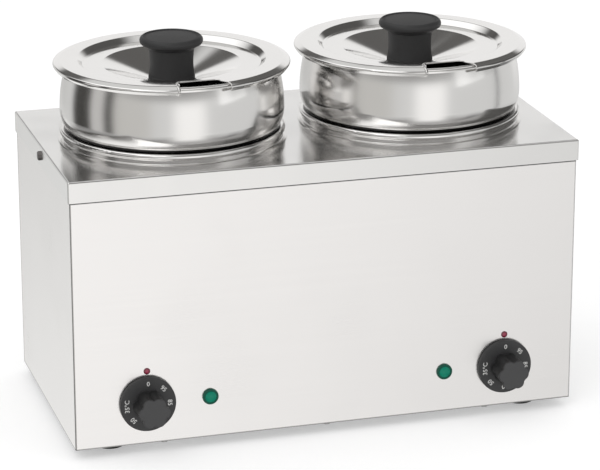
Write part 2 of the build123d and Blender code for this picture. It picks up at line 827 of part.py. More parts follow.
def cable_gland():
    """Gland body through the rear panel with its tapered cap nut; Z 0 is the panel's outer face."""
    thread = rod(gland_thread_radius, -gland_thread_length, 0)
    flange = hexagon(gland_hex, gland_hex_height)
    cap = turned(
        Polyline((0, gland_hex_height), (gland_neck_radius + gland_cap_taper, gland_hex_height),
                 (gland_neck_radius, gland_shoulder_height)),
        ThreePointArc((gland_neck_radius, gland_shoulder_height), gland_crown,
                      (gland_mouth_radius, gland_reach)),
        Polyline((gland_mouth_radius, gland_reach), (0, gland_reach), (0, gland_hex_height)))
    return thread + flange + cap - rod(gland_bore_radius, -gland_thread_length - past,
                                       gland_reach + past)


def terminal_block():
    """Three-pole terminal block with wire ports front and back and two fixing holes."""
    width, depth, height = block_size
    block = Pos(0, 0, height / 2) * Box(width, depth, height)
    block = chamfer(block.edges().group_by(Axis.Z)[-1], block_chamfer)
    for pole in (-1, 0, 1):
        for end in (-1, 1):
            port = Pos(pole * block_terminal_spacing, end * depth / 2, height / 2) * Rot(X=90)
            block -= port * rod(block_port_radius, -block_port_depth, block_port_depth)
    for x in (-block_screw_spacing / 2, block_screw_spacing / 2):
        block -= Pos(x, 0, 0) * (rod(screw_radius + hole_gap, -past, height + past)
                                 + rod(screw_head_radius + hole_gap,
                                       height - screw_head_height, height + past))
    return block


def terminal_block_screws():
    """The two screws of the terminal block."""
    height = block_size[2]
    piece = small_screw(height - screw_head_height + sheet)
    return group([place(block_x + x, block_y, base_plate_top + height - screw_head_height) * piece
                  for x in (-block_screw_spacing / 2, block_screw_spacing / 2)])


def lead(points, radius=lead_bend):
    """One insulated wire along straight runs joined by arcs."""
    path = FilletPolyline(*points, radius=radius)
    section = Plane(origin=path @ 0, z_dir=path % 0) * Circle(lead_radius)
    return sweep(section, path=path)


def internal_wiring():
    """Leads from the terminal block to each thermostat and from there to the heater's pins."""
    block_z = base_plate_top + block_size[2] / 2
    front_of_block = block_y - block_size[1] / 2
    thermostat_back = (panel_front + sheet + thermostat_plate[2] + thermostat_case[2]
                       + tab_length)
    tab_z = control_z + thermostat_case[1] / 4
    half_gap = radians(element_gap_angle / 2)
    pin_y = casing_y - element_ring_radius * cos(half_gap)
    pin_z = well_underside - element_tube / 2 - element_leg - element_pin_length
    leads = []
    for side in sides.values():
        pole_x = block_x + side * block_terminal_spacing
        inner_tab = side * (control_x - thermostat_case[0] / 4)
        outer_tab = side * (control_x + thermostat_case[0] / 4)
        leads.append(lead([
            (pole_x, front_of_block, block_z),
            (pole_x, front_of_block - block_lead_run, block_z),
            (inner_tab, thermostat_back + supply_lead_run, tab_z),
            (inner_tab, thermostat_back, tab_z),
        ]))
        pin_x = side * (well_x + element_ring_radius * sin(half_gap))
        leads.append(lead([
            (outer_tab, thermostat_back, tab_z),
            (outer_tab, thermostat_back + element_lead_run, tab_z),
            (pin_x, pin_y, pin_z - element_lead_drop),
            (pin_x, pin_y, pin_z),
        ], radius=lead_tight_bend))
    return group(leads)


# ---------------------------------------------------------------- assembly

def paired(name, shape, x=well_x, y=casing_y, z=cover_top):
    """The same piece at the left and right place."""
    return {f"{name}_{word}": place(side * x, y, z) * shape for word, side in sides.items()}


def on_panel_pair(name, shape, x, z=control_z):
    """The same piece at the left and right place on the front panel."""
    return {f"{name}_{word}": on_panel(side * x, z) * shape for word, side in sides.items()}


def all_nodes():
    """Every sub-part by its node name."""
    nodes = {
        "front_and_sides_shell": front_and_sides_shell(),
        "rear_panel": rear_panel(),
        "top_cover": top_cover(),
        "base_plate": base_plate(),
        "foot_screws": foot_screws(),
        "foot_nuts": foot_nuts(),
        "top_cover_screws": group([frame * small_screw() for frame in cover_screw_frames()]),
        "rear_panel_screws": group([frame * small_screw() for frame in rear_screw_frames()]),
        "base_plate_screws": group([frame * small_screw(3 * sheet)
                                    for frame in base_screw_frames()]),
        "heater_studs": group([place(side * well_x, casing_y, well_underside)
                               * rod(stud_radius - thread_gap, -stud_length, 0)
                               for side in sides.values()]),
        "heater_nuts": group([place(side * well_x, casing_y, clamp_plate_bottom - nut_height)
                              * nut(nut_across_flats, nut_height, stud_radius)
                              for side in sides.values()]),
        "thermostat_screws": thermostat_screws(),
        "pilot_nuts": group([on_panel(side * lamp_x, control_z) * Pos(0, 0, -sheet
                                                                      - lamp_nut_height)
                             * nut(lamp_nut_across_flats, lamp_nut_height,
                                   lamp_barrel_radius + thread_gap)
                             for side in sides.values()]),
        "cable_gland": on_rear(gland_x, casing_clearance + gland_height) * cable_gland(),
        "gland_locknut": on_rear(gland_x, casing_clearance + gland_height)
        * Pos(0, 0, -sheet - locknut_height)
        * nut(gland_hex, locknut_height, gland_thread_radius + thread_gap),
        "terminal_block": place(block_x, block_y, base_plate_top) * terminal_block(),
        "terminal_block_screws": terminal_block_screws(),
        "earth_stud": place(earth_x, earth_y, base_plate_bottom)
        * rod(earth_radius, 0, earth_length),
        "earth_nut": place(earth_x, earth_y, base_plate_top)
        * nut(earth_nut_across_flats, earth_nut_height, earth_radius + thread_gap),
        "internal_wiring": internal_wiring(),
    }
    foot_names = ("foot_front_left", "foot_front_right", "foot_rear_left", "foot_rear_right")
    for name, (x, y) in zip(foot_names, foot_places()):
        nodes[name] = place(x, y, 0) * foot()
    nodes |= paired("well", well())
    nodes |= paired("insulation_jacket", insulation_jacket())
    nodes |= paired("heater_element", heater_element(), z=well_underside)
    nodes |= paired("heater_clamp_plate", heater_clamp_plate(), z=clamp_plate_top)
    nodes |= paired("overheat_cutout", overheat_cutout(), y=casing_y + cutout_offset,
                    z=clamp_plate_bottom)
    nodes |= paired("thermostat_bulb", thermostat_bulb(), x=well_x + bulb_offset,
                    z=well_underside - element_tube / 2)
    nodes |= {f"capillary_{word}": capillary(side) for word, side in sides.items()}
    nodes |= paired("pot", pot())
    nodes |= paired("lid", lid())
    nodes |= paired("lid_knob", lid_knob(), z=cover_top + dish_floor)
    nodes |= paired("lid_knob_washer", lid_knob_washer(), z=cover_top + dish_floor - lid_sheet)
    nodes |= paired("lid_knob_screw", lid_knob_screw(),
                    z=cover_top + dish_floor - lid_sheet - washer_thickness)
    nodes |= on_panel_pair("thermostat_body", thermostat_body(), control_x)
    nodes |= on_panel_pair("thermostat_shaft", thermostat_shaft(), control_x)
    nodes |= on_panel_pair("control_knob", control_knob(), control_x)
    nodes |= on_panel_pair("pilot_body", pilot_body(), lamp_x)
    nodes |= on_panel_pair("pilot_lens", pilot_lens(), lamp_x)
    nodes |= on_panel_pair("index_marker", index_marker(), control_x, mark_z)
    return nodes


def main():
    os.makedirs("parts", exist_ok=True)
    for name, shape in all_nodes().items():
        export_step(shape, os.path.join("parts", f"{name}.step"))


if __name__ == "__main__":
    main()
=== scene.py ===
import math

import bmesh
import bpy
from bpy.props import FloatProperty, FloatVectorProperty, PointerProperty
from mathutils import Matrix, Vector


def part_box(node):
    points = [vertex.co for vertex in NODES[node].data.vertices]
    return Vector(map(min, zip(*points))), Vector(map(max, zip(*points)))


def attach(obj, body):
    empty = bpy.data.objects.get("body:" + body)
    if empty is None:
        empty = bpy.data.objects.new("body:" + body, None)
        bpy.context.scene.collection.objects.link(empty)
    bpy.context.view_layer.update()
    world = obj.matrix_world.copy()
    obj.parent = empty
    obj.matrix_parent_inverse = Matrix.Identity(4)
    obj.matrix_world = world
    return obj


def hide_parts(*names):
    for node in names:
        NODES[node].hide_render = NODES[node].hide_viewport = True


bl_info = {
    "name": "Twin Topping Warmer",
    "version": (1, 0, 0),
    "blender": (4, 5, 0),
    "location": "View3D > Sidebar > Warmer",
    "description": "Finishes and stages a countertop warmer with two lift-out pots",
    "category": "Object",
}

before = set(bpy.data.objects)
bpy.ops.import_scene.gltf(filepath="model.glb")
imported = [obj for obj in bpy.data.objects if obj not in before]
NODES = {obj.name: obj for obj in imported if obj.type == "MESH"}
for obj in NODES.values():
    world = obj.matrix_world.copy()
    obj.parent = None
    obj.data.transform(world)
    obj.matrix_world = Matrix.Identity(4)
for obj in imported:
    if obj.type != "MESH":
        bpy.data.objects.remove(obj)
SIDES = ("left", "right")
SEAT_RISE = 0.0113  # where the pots sit, above the cover
LIP_STEPS = 8  # points of the lip's tail, and of the taper at its ends
PRISM_RATE = 9000.0  # radians per metre from the middle of a lens
WEAVE_RATE = 2600.0  # radians per metre across the threads
TINY = 1e-9


def middle(node):
    """Centre of a node's box, in metres."""
    low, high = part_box(node)
    return (low + high) / 2


PANEL_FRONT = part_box("front_and_sides_shell")[0].y
SIDE_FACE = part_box("front_and_sides_shell")[1].x
SHEET_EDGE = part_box("front_and_sides_shell")[0].z
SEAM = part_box("top_cover")[0].z
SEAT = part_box("top_cover")[1].z + SEAT_RISE
POT_AXIS = middle("pot_right")


# ---------------------------------------------------------------- sizes and colours

def length(name, text, value):
    """A property that holds a length in metres."""
    return FloatProperty(name=name, description=text, default=value, unit="LENGTH", precision=5)


def share(name, text, value, top=1.0):
    """A property that holds a plain number from 0."""
    return FloatProperty(name=name, description=text, default=value, min=0.0, max=top)


def colour(name, text, value):
    """A property that holds a colour."""
    return FloatVectorProperty(name=name, description=text, default=value, size=3,
                               subtype="COLOR", min=0.0, max=1.0)


def band(name, text, start, end):
    """A property that holds the two distances between which a shade comes or goes."""
    return FloatVectorProperty(name=name, description=text, default=(start, end), size=2,
                               unit="LENGTH", precision=5)


class SheetFinish(bpy.types.PropertyGroup):
    """Colours and gloss of the sheet steel, and bands of painted shade: under the cover's skirt,
    along the casing's lower edge, down the front corners and in the crevice between pot and well.
    """

    casing_tone: colour("Casing", "Colour of the satin casing sheet", (0.95, 0.936, 0.926))
    casing_gloss: share("Casing roughness", "Roughness of the satin sheet", 0.22)
    cover_tone: colour("Cover", "Colour of the bright cover sheet", (0.84, 0.835, 0.825))
    cover_gloss: share("Cover roughness", "Roughness of the bright sheet", 0.16)
    spun_tone: colour("Spun steel", "Colour of pots, lids and wells", (0.855, 0.845, 0.832))
    spun_gloss: share("Spun roughness", "Roughness of pots and wells", 0.12)
    pressed_gloss: share("Lid roughness", "Roughness of the lids", 0.075)
    grain_pitch: length("Grain pitch", "Distance between brushed lines", 0.0006)
    # Painted shade: these three bands darken the casing's colour under the cover's skirt, along
    # the lower edge and down the front corners.
    seam: band("Seam", "Dark line under the cover's skirt", 0.0009, 0.0019)
    foot: band("Lower edge", "Dark line along the casing's lower edge", 0.0006, 0.0014)
    corner: band("Corner", "Dark line down the front corners", 0.0004, 0.0016)
    # Painted shade: these bands darken the crevice between pot and well nearly to black.
    crease_foot: band("Crease foot", "Rise of the shade between pot and well", 0.0001, 0.0004)
    crease_top: band("Crease top", "Fall of the shade between pot and well", 0.0020, 0.0031)
    crease_depth: band("Crease depth", "Radii where that shade begins", 0.0925, 0.0935)


class MouldedFinish(bpy.types.PropertyGroup):
    """Colours of the moulded and printed pieces, and painted light and shade on caps and grips.
    """

    knob_tone: colour("Knobs", "Charcoal of knobs and dials", (0.042, 0.042, 0.043))
    number_tone: colour("Numbers", "Ink of the dial's numbers", (0.74, 0.74, 0.72))
    lamp_tone: colour("Lamp", "Green of the pilot lenses", (0.0, 0.20, 0.125))
    mark_tone: colour("Index mark", "Red of the marks above the dials", (0.16, 0.010, 0.030))
    # Painted highlight on the cap's rim and painted shade in its groove.
    cap_top: band("Cap top", "Upper part of a lid knob's cap", 0.0034, 0.0042)
    cap_rim: band("Cap rim", "Worn rim of that cap, from its edge", 0.0030, 0.0042)
    groove: band("Groove", "Groove in that cap, from its middle line", 0.0005, 0.0011)
    groove_place: length("Groove place", "Groove's middle line, from the cap's edge", 0.0050)
    # Painted light on the grip's face and painted shade on its flanks.
    grip_face: band("Grip face", "Worn face of a control knob's grip", 0.0004, 0.0012)
    grip_flank: band("Grip flank", "Where the grip's flanks begin", 0.0012, 0.0030)
    dial_skirt: band("Dial skirt", "Reach of the dial from the panel", 0.0052, 0.0065)


class DialPrint(bpy.types.PropertyGroup):
    """Sizes of the numbers printed on the dials."""

    face: length("Dial face", "Front of the dial skirt ahead of the panel", 0.0046)
    ring: length("Ring radius", "Radius on which the numbers stand", 0.0194)
    height: length("Number height", "Height of a number", 0.0040)
    ink: length("Ink thickness", "Thickness of the printed ink", 0.00006)
    rise: share("Figure rise", "Height of a figure as a share of the font's size", 0.70)
    weight: share("Weight", "Added stroke as a share of a number's height", 0.012)
    spacing: share("Spacing", "Distance between figures", 1.02, 2.0)


class LidForm(bpy.types.PropertyGroup):
    """Sizes of a pressed lid: radii from its axis and drops below the level of its brim."""

    sheet: length("Sheet", "Thickness of the sheet", 0.0008)
    skirt: length("Skirt radius", "Lower edge of the skirt", 0.1035)
    skirt_drop: length("Skirt drop", "Depth of the skirt's lower edge", 0.0072)
    corner: length("Corner radius", "Corner of brim and skirt before rounding", 0.1068)
    corner_drop: length("Corner drop", "Depth of that corner", 0.0027)
    corner_round: length("Corner rounding", "Rounding of that corner", 0.0019)
    roll: length("Roll radius", "Where the brim starts to roll down", 0.0997)
    roll_round: length("Roll rounding", "Rounding where the roll starts", 0.0040)
    mouth: length("Recess mouth", "Inner edge of the brim", 0.0843)
    recess: length("Recess radius", "Foot of the recess wall", 0.0793)
    recess_drop: length("Recess drop", "Depth of the recess", 0.0048)
    recess_round: length("Recess rounding", "Rounding of the recess's edges", 0.0016)
    dish: length("Dish radius", "Upper edge of the dish", 0.0623)
    dish_round: length("Dish rounding", "Rounding of the dish's edge", 0.0032)
    floor: length("Floor radius", "Edge of the dish's floor", 0.0220)
    floor_drop: length("Floor drop", "Depth of the dish's floor", 0.0180)
    floor_round: length("Floor rounding", "Rounding of the floor's edge", 0.0022)
    hole: length("Hole radius", "Hole for the knob's screw", 0.0028)


class NotchForm(bpy.types.PropertyGroup):
    """Plan of a lid's ladle notch, seen from above with the front of the lid below."""

    turn: FloatProperty(name="Turn", description="Turn of the notch from straight ahead",
                        default=math.radians(1.2), subtype="ANGLE")
    half: length("Half width", "Half the width between its flanks", 0.0190)
    reach: length("Inner end", "Inner end from the lid's axis", 0.0850)
    left_mouth: length("Left mouth", "Left flank at the skirt", 0.0208)
    left_bend: length("Left bend", "Where the left flank bends out", 0.0935)
    right_mouth: length("Right mouth", "Right flank at the skirt", 0.0265)
    right_bend: length("Right bend", "Where the right flank bends out", 0.0900)
    right_foot: length("Right foot", "Where the right flank runs straight again", 0.0985)
    corner: length("Corner rounding", "Rounding of its inner corners", 0.0040)
    bend: length("Bend rounding", "Rounding where the flanks bend", 0.0050)
    beyond: length("Beyond", "How far the cut runs past the lid", 0.0180)
    lip: length("Lip radius", "Radius of the curled lip at the left flank", 0.00135)
    tip: share("Lip tip", "Share of that radius left at the lip's ends", 0.25)
    thin: share("Thin part", "Share of that radius left at the right flank", 0.45)
    tail: length("Lip tail", "Length of the lip along the skirt's lower edge", 0.0065)


class Studio(bpy.types.PropertyGroup):
    """Camera and light."""

    lens: FloatProperty(name="Lens", description="Focal length in millimetres", default=173.3)
    distance: length("Distance", "Camera to the point it looks at", 2.6538)
    yaw: FloatProperty(name="Yaw", description="Camera to the left of straight ahead",
                       default=math.radians(16.35), subtype="ANGLE")
    pitch: FloatProperty(name="Pitch", description="Camera above the horizon",
                         default=math.radians(18.21), subtype="ANGLE")
    target: FloatVectorProperty(name="Target", description="Point that the camera looks at",
                                default=(0.0075, 0.0030, 0.1503), size=3, subtype="XYZ")
    room: share("Room light", "Strength of the room's even light", 0.78, 4.0)
    floor_tone: share("Floor tone", "Tone of the floor", 0.82)
    floor_glow: share("Floor glow", "Light that the floor gives off", 0.385)
    floor_reach: length("Floor reach", "Half the width of the floor", 12.0)


GROUPS = {
    "warmer_sheet": SheetFinish,
    "warmer_moulded": MouldedFinish,
    "warmer_dial": DialPrint,
    "warmer_lid": LidForm,
    "warmer_notch": NotchForm,
    "warmer_studio": Studio,
}


# ---------------------------------------------------------------- node trees

class Value:
    """A socket of a node tree. Arithmetic on it adds the Math nodes that work it out."""

    def __init__(self, finish, socket):
        self.finish = finish
        self.socket = socket

    def math(self, operation, *terms):
        """One Math node on these terms."""
        return self.finish.node("ShaderNodeMath", {"operation": operation},
                                dict(enumerate(terms)))

    def __add__(self, other):
        return self.math("ADD", self, other)

    def __radd__(self, other):
        return self.math("ADD", other, self)

    def __sub__(self, other):
        return self.math("SUBTRACT", self, other)

    def __rsub__(self, other):
        return self.math("SUBTRACT", other, self)

    def __mul__(self, other):
        return self.math("MULTIPLY", self, other)

    def __rmul__(self, other):
        return self.math("MULTIPLY", other, self)

    def __truediv__(self, other):
        return self.math("DIVIDE", self, other)

    def __abs__(self):
        return self.math("ABSOLUTE", self)

    def __pow__(self, other):
        return self.math("POWER", self, other)


class Finish:
    """The node tree of a material or of the world."""

    def __init__(self, tree):
        self.tree = tree
        tree.nodes.clear()

    def node(self, kind, settings=None, inputs=None, output=0):
        """Adds a node: its settings first, then the values or links of its sockets."""
        made = self.tree.nodes.new(kind)
        for name, value in (settings or {}).items():
            setattr(made, name, value)
        for key, value in (inputs or {}).items():
            if isinstance(value, Value):
                self.tree.links.new(value.socket, made.inputs[key])
            else:
                made.inputs[key].default_value = value
        return Value(self, made.outputs[output]) if len(made.outputs) else None

    def place(self):
        """X, Y and Z of a point on the object."""
        point = self.node("ShaderNodeTexCoord", output="Object")
        split = self.node("ShaderNodeSeparateXYZ", inputs={0: point})
        return [Value(self, split.socket.node.outputs[axis]) for axis in range(3)]

    def vector(self, x, y, z):
        """A vector from three values."""
        return self.node("ShaderNodeCombineXYZ", inputs={0: x, 1: y, 2: z})

    def noise(self, vector, scale, detail=2.0, roughness=0.5):
        """Noise from 0 to 1."""
        return self.node("ShaderNodeTexNoise", {"normalize": True},
                         {"Vector": vector, "Scale": scale, "Detail": detail,
                          "Roughness": roughness})

    def ramp(self, value, low, high, start=0.0, end=1.0):
        """A smooth step from start to end while the value goes from low to high."""
        return self.node("ShaderNodeMapRange", {"interpolation_type": "SMOOTHSTEP"},
                         {"Value": value, "From Min": low, "From Max": high,
                          "To Min": start, "To Max": end})

    def fall(self, distance, reach):
        """A smooth step from 1 at the first of two distances down to 0 at the second."""
        return self.ramp(distance, *reach, start=1.0, end=0.0)

    def mix(self, factor, a, b):
        """A colour between two colours."""
        first, second = [tone if isinstance(tone, Value) else (*tone, 1.0) for tone in (a, b)]
        return self.node("ShaderNodeMix", {"data_type": "RGBA"},
                         {0: factor, 6: first, 7: second}, output=2)

    def bump(self, height, distance, strength):
        """A bumped normal from a height from 0 to 1."""
        return self.node("ShaderNodeBump", inputs={
            "Height": height, "Distance": distance, "Strength": strength})


def surface(name, build, **constants):
    """A material. The build function gives what varies; constants go on the shader's sockets."""
    material = bpy.data.materials.new(name)
    material.use_nodes = True
    finish = Finish(material.node_tree)
    inputs = {key.replace("_", " "): value for key, value in constants.items()}
    inputs.update(build(finish))
    if "Base Color" in inputs and not isinstance(inputs["Base Color"], Value):
        inputs["Base Color"] = (*inputs["Base Color"], 1.0)
    shader = finish.node("ShaderNodeBsdfPrincipled", inputs=inputs)
    finish.node("ShaderNodeOutputMaterial", inputs={"Surface": shader})
    return material


def shade(tone, factor):
    """A colour made darker or lighter by one factor."""
    return tuple(min(1.0, channel * factor) for channel in tone)


def distance_from(x, y, axis_x, axis_y):
    """Distance from an axis and its mirror image, with the two steps that lead to it."""
    across = abs(x) - axis_x
    along = y - axis_y
    return across, along, (across * across + along * along) ** 0.5


# ---------------------------------------------------------------- steel

def smudges(finish, x, y, z):
    """Faint patches where hands and cloths have been, from 0 to 1."""
    cloud = finish.noise(finish.vector(x, y, z), scale=14.0, detail=1.5, roughness=0.5)
    return finish.ramp(cloud, low=0.42, high=0.78)


def satin_steel(sheet):
    """Satin sheet with level grain that runs round the folded corners."""
    def build(finish):
        x, y, z = finish.place()
        along = (x + y) * 5.0
        lines = finish.noise(finish.vector(along, 0.0, z / sheet.grain_pitch), scale=1.0,
                             detail=3.0, roughness=0.6)
        bands = finish.noise(finish.vector(along * 0.4, 0.0, z * 260.0), scale=1.0)
        tone = finish.mix(bands * 0.5 + lines * 0.3, shade(sheet.casing_tone, 0.965),
                          shade(sheet.casing_tone, 1.01))
        # Painted shade under the cover's skirt, along the lower edge and down the front corners.
        seam = finish.fall(SEAM - z, sheet.seam)
        foot = finish.fall(z - SHEET_EDGE, sheet.foot)
        corner = finish.fall(SIDE_FACE - abs(x), sheet.corner) * finish.fall(
            y - PANEL_FRONT, sheet.corner)
        tone = finish.mix(seam.math("MAXIMUM", seam, foot * 0.7), tone,
                          shade(sheet.casing_tone, 0.10))
        tone = finish.mix(corner * 0.7, tone, shade(sheet.casing_tone, 0.3))
        return {
            "Base Color": tone,
            "Roughness": sheet.casing_gloss + lines * 0.06 + smudges(finish, x, y, z) * 0.02,
            "Normal": finish.bump(lines, distance=0.000008, strength=0.25),
        }
    return surface("satin_steel", build, Metallic=1.0, Anisotropic=0.35)


def bright_steel(sheet):
    """Bright cover sheet: reflects clearly, with a trace of grain along its length."""
    def build(finish):
        x, y, z = finish.place()
        lines = finish.noise(finish.vector(x * 5.0, y / sheet.grain_pitch,
                                           z / sheet.grain_pitch),
                             scale=1.0, detail=3.0, roughness=0.6)
        return {
            "Base Color": finish.mix(lines, shade(sheet.cover_tone, 0.97), sheet.cover_tone),
            "Roughness": sheet.cover_gloss + lines * 0.05 + smudges(finish, x, y, z) * 0.05,
            "Normal": finish.bump(lines, distance=0.000006, strength=0.5),
        }
    return surface("bright_steel", build, Metallic=1.0)


def spun_steel(name, sheet, gloss, streaks):
    """Mirror-polished steel with fine rings from spinning, about the nearest pot's axis."""
    def build(finish):
        x, y, z = finish.place()
        across, along, radius = distance_from(x, y, POT_AXIS.x, POT_AXIS.y)
        turn = across.math("ARCTAN2", across, along)
        rings = finish.noise(finish.vector(radius / sheet.grain_pitch, turn * 0.8,
                                           z / sheet.grain_pitch),
                             scale=1.0, detail=3.0, roughness=0.6)
        waves = finish.noise(finish.vector(radius * 40.0, turn * 9.0, z * 5.0), scale=1.0,
                             detail=1.0)
        # Painted shade: the crevice between pot and well, darkened nearly to black.
        above = z - SEAT
        crease = finish.ramp(above, *sheet.crease_foot) * finish.fall(
            above, sheet.crease_top) * finish.ramp(radius, *sheet.crease_depth)
        tone = finish.mix(rings, shade(sheet.spun_tone, 0.96), sheet.spun_tone)
        return {
            "Base Color": finish.mix(crease, tone, shade(sheet.spun_tone, 0.03)),
            "Roughness": gloss + rings * 0.05 + smudges(finish, x, y, z) * 0.03,
            "Normal": finish.bump(rings * 0.12 + waves, distance=0.00006, strength=0.30),
        }
    return surface(name, build, Metallic=1.0, Anisotropic=streaks)


def plain_metal(name, tone, roughness, mottle):
    """Plain metal of a small or inner piece, with a mottled tone."""
    def build(finish):
        x, y, z = finish.place()
        spots = finish.noise(finish.vector(x, y, z), scale=420.0, detail=3.0, roughness=0.65)
        return {
            "Base Color": finish.mix(spots, shade(tone, 1.0 - mottle), shade(tone, 1.0 + mottle)),
            "Roughness": roughness + spots * 0.12,
            "Normal": finish.bump(spots, distance=0.00004, strength=0.3),
        }
    return surface(name, build, Metallic=1.0)


# ---------------------------------------------------------------- plastics and the rest

def moulded(name, tone, roughness, texture=0.00003, detail=None):
    """Moulded plastic with a fine spark texture and a slightly cloudy tone."""
    def build(finish):
        x, y, z = finish.place()
        point = finish.vector(x, y, z)
        grains = finish.noise(point, scale=2600.0, roughness=0.6)
        cloud = finish.noise(point, scale=70.0, detail=3.0, roughness=0.55)
        body = finish.mix(cloud, shade(tone, 0.82), shade(tone, 1.22))
        return {
            "Base Color": detail(finish, x, y, z, body, tone) if detail else body,
            "Roughness": roughness + cloud * 0.10 + grains * 0.06,
            "Normal": finish.bump(grains, distance=texture, strength=0.6),
        }
    return surface(name, build)


def cap_rim_sheen_and_groove_shade(knob_shading):
    """Painted shade of a fine groove near the edge of a lid knob's cap, and a painted highlight
    on the rim outside it.
    """
    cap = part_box("lid_knob_right")[1]

    def detail(finish, x, y, z, body, tone):
        _, _, radius = distance_from(x, y, POT_AXIS.x, POT_AXIS.y)
        inwards = cap.x - POT_AXIS.x - radius
        top = finish.fall(cap.z - z, knob_shading.cap_top)
        rim = top * finish.fall(inwards, knob_shading.cap_rim)
        groove = top * finish.fall(abs(inwards - knob_shading.groove_place), knob_shading.groove)
        # Painted highlight on the rim, then painted shade in the groove.
        body = finish.mix(rim * 0.6, body, shade(tone, 1.6))
        return finish.mix(groove, body, shade(tone, 0.20))
    return detail


def grip_face_light_and_flank_shade(knob_shading):
    """A control knob's grip: painted light on its face and painted shade on its flanks."""
    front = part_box("control_knob_right")[0].y

    def detail(finish, x, y, z, body, tone):
        face = finish.fall(y - front, knob_shading.grip_face)
        flank = finish.ramp(y - front, *knob_shading.grip_flank) * finish.ramp(
            PANEL_FRONT - y, *knob_shading.dial_skirt)
        # Painted shade on the flanks, then painted light on the face.
        body = finish.mix(flank * 0.8, body, shade(tone, 0.35))
        return finish.mix(face * 0.8, body, shade(tone, 1.5))
    return detail


def lamp_glass(tone):
    """Green lens: a dark rim, a lighter dome and fine prisms moulded inside."""
    lens = middle("pilot_lens_right")

    def build(finish):
        x, _, z = finish.place()
        _, _, radius = distance_from(x, z, lens.x, lens.z)
        prisms = radius.math("SINE", radius * PRISM_RATE) * 0.5 + 0.5
        rim = finish.ramp(radius, low=0.0046, high=0.0058)
        return {
            "Base Color": finish.mix(rim, tone, shade(tone, 0.36)),
            "Roughness": 0.14 + prisms * 0.10,
            "Normal": finish.bump(prisms, distance=0.00012, strength=0.35),
        }
    return surface("lamp_glass", build, Coat_Weight=0.15, IOR=1.45, Specular_IOR_Level=0.25)


def enamel(tone):
    """Red enamel that is lighter in the middle of the mark."""
    mark = middle("index_marker_right")

    def build(finish):
        x, _, z = finish.place()
        _, _, radius = distance_from(x, z, mark.x, mark.z)
        edge = finish.ramp(radius, low=0.0006, high=0.0026)
        return {
            "Base Color": finish.mix(edge, shade(tone, 1.9), shade(tone, 0.75)),
            "Roughness": finish.ramp(radius, low=0.0, high=0.003, start=0.16, end=0.30),
        }
    return surface("enamel", build, Coat_Weight=0.5)


def ink(tone):
    """Printed ink with slightly uneven cover."""
    def build(finish):
        x, y, z = finish.place()
        cover = finish.noise(finish.vector(x, y, z), scale=1800.0)
        return {
            "Base Color": finish.mix(cover, shade(tone, 0.86), tone),
            "Roughness": 0.5 + cover * 0.15,
        }
    return surface("ink", build)


def woven(name, tone):
    """Glass-fibre weave of the insulation and the leads."""
    def build(finish):
        x, y, z = finish.place()
        warp, weft = [x.math("SINE", step * WEAVE_RATE) * 0.5 for step in (x + y, z)]
        threads = warp * weft + 0.5
        return {
            "Base Color": finish.mix(threads, shade(tone, 0.8), tone),
            "Roughness": 0.8 + threads * 0.1,
            "Normal": finish.bump(threads, distance=0.0002, strength=0.6),
        }
    return surface(name, build, Sheen_Weight=0.3)


def dress(material, *names):
    """Gives CAD nodes this material."""
    for name in names:
        mesh = NODES[name].data
        mesh.materials.clear()
        mesh.materials.append(material)


def pair(name):
    """The left and right node of this name."""
    return [f"{name}_{side}" for side in SIDES]


# ---------------------------------------------------------------- meshes

def new_piece(name, mesh, material, body):
    """Adds a mesh to the scene as a piece that rides on a body."""
    piece = bpy.data.objects.new(name, mesh)
    bpy.context.scene.collection.objects.link(piece)
    mesh.materials.append(material)
    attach(piece, body)
    return piece


def rounded(points, radii, steps=8):
    """A line through points in a plane, with its corners rounded by these radii."""
    line = [Vector(points[0])]
    for before, corner, after, radius in zip(points, points[1:], points[2:], radii):
        corner = Vector(corner)
        back = (Vector(before) - corner).normalized()
        ahead = (Vector(after) - corner).normalized()
        half = back.angle(ahead) / 2
        centre = corner + (back + ahead).normalized() * radius / math.sin(half)
        start = corner + back * radius / math.tan(half) - centre
        end = corner + ahead * radius / math.tan(half) - centre
        for step in range(steps + 1):
            share_done = step / steps
            spoke = start * (1 - share_done) + end * share_done
            line.append(centre + spoke.normalized() * radius)
    line.append(Vector(points[-1]))
    return line


def beside(line, distance):
    """The line moved sideways in its plane, to its left."""
    moved = []
    for index, point in enumerate(line):
        along = (line[min(index + 1, len(line) - 1)] - line[max(index - 1, 0)]).normalized()
        moved.append(point + Vector((-along.y, along.x)) * distance)
    return moved


def evenly(line, pitch):
    """The line with points added so that none lie further apart than the pitch."""
    dense = [line[0]]
    for start, end in zip(line, line[1:]):
        parts = max(1, math.ceil((end - start).length / pitch))
        dense += [start.lerp(end, part / parts) for part in range(1, parts + 1)]
    return dense


def spun(outline, around=288):
    """Bmesh of a closed outline of radii and heights turned about Z."""
    made = bmesh.new()
    rings = []
    for radius, height in outline:
        rings.append([made.verts.new((radius * math.cos(turn), radius * math.sin(turn), height))
                      for turn in (2 * math.pi * step / around for step in range(around))])
    for ring, following in zip(rings, rings[1:] + rings[:1]):
        for step in range(around):
            ahead = (step + 1) % around
            made.faces.new((ring[step], ring[ahead], following[ahead], following[step]))
    bmesh.ops.recalc_face_normals(made, faces=made.faces)
    return made


def prism(outline, bottom, top):
    """Mesh of an outline in the XY plane raised between two heights."""
    made = bmesh.new()
    loops = [[made.verts.new((x, y, height)) for x, y in outline] for height in (bottom, top)]
    made.faces.new(loops[0])
    made.faces.new(loops[1])
    for step in range(len(outline)):
        ahead = (step + 1) % len(outline)
        made.faces.new((loops[0][step], loops[0][ahead], loops[1][ahead], loops[1][step]))
    bmesh.ops.recalc_face_normals(made, faces=made.faces)
    mesh = bpy.data.meshes.new("prism")
    made.to_mesh(mesh)
    made.free()
    return mesh


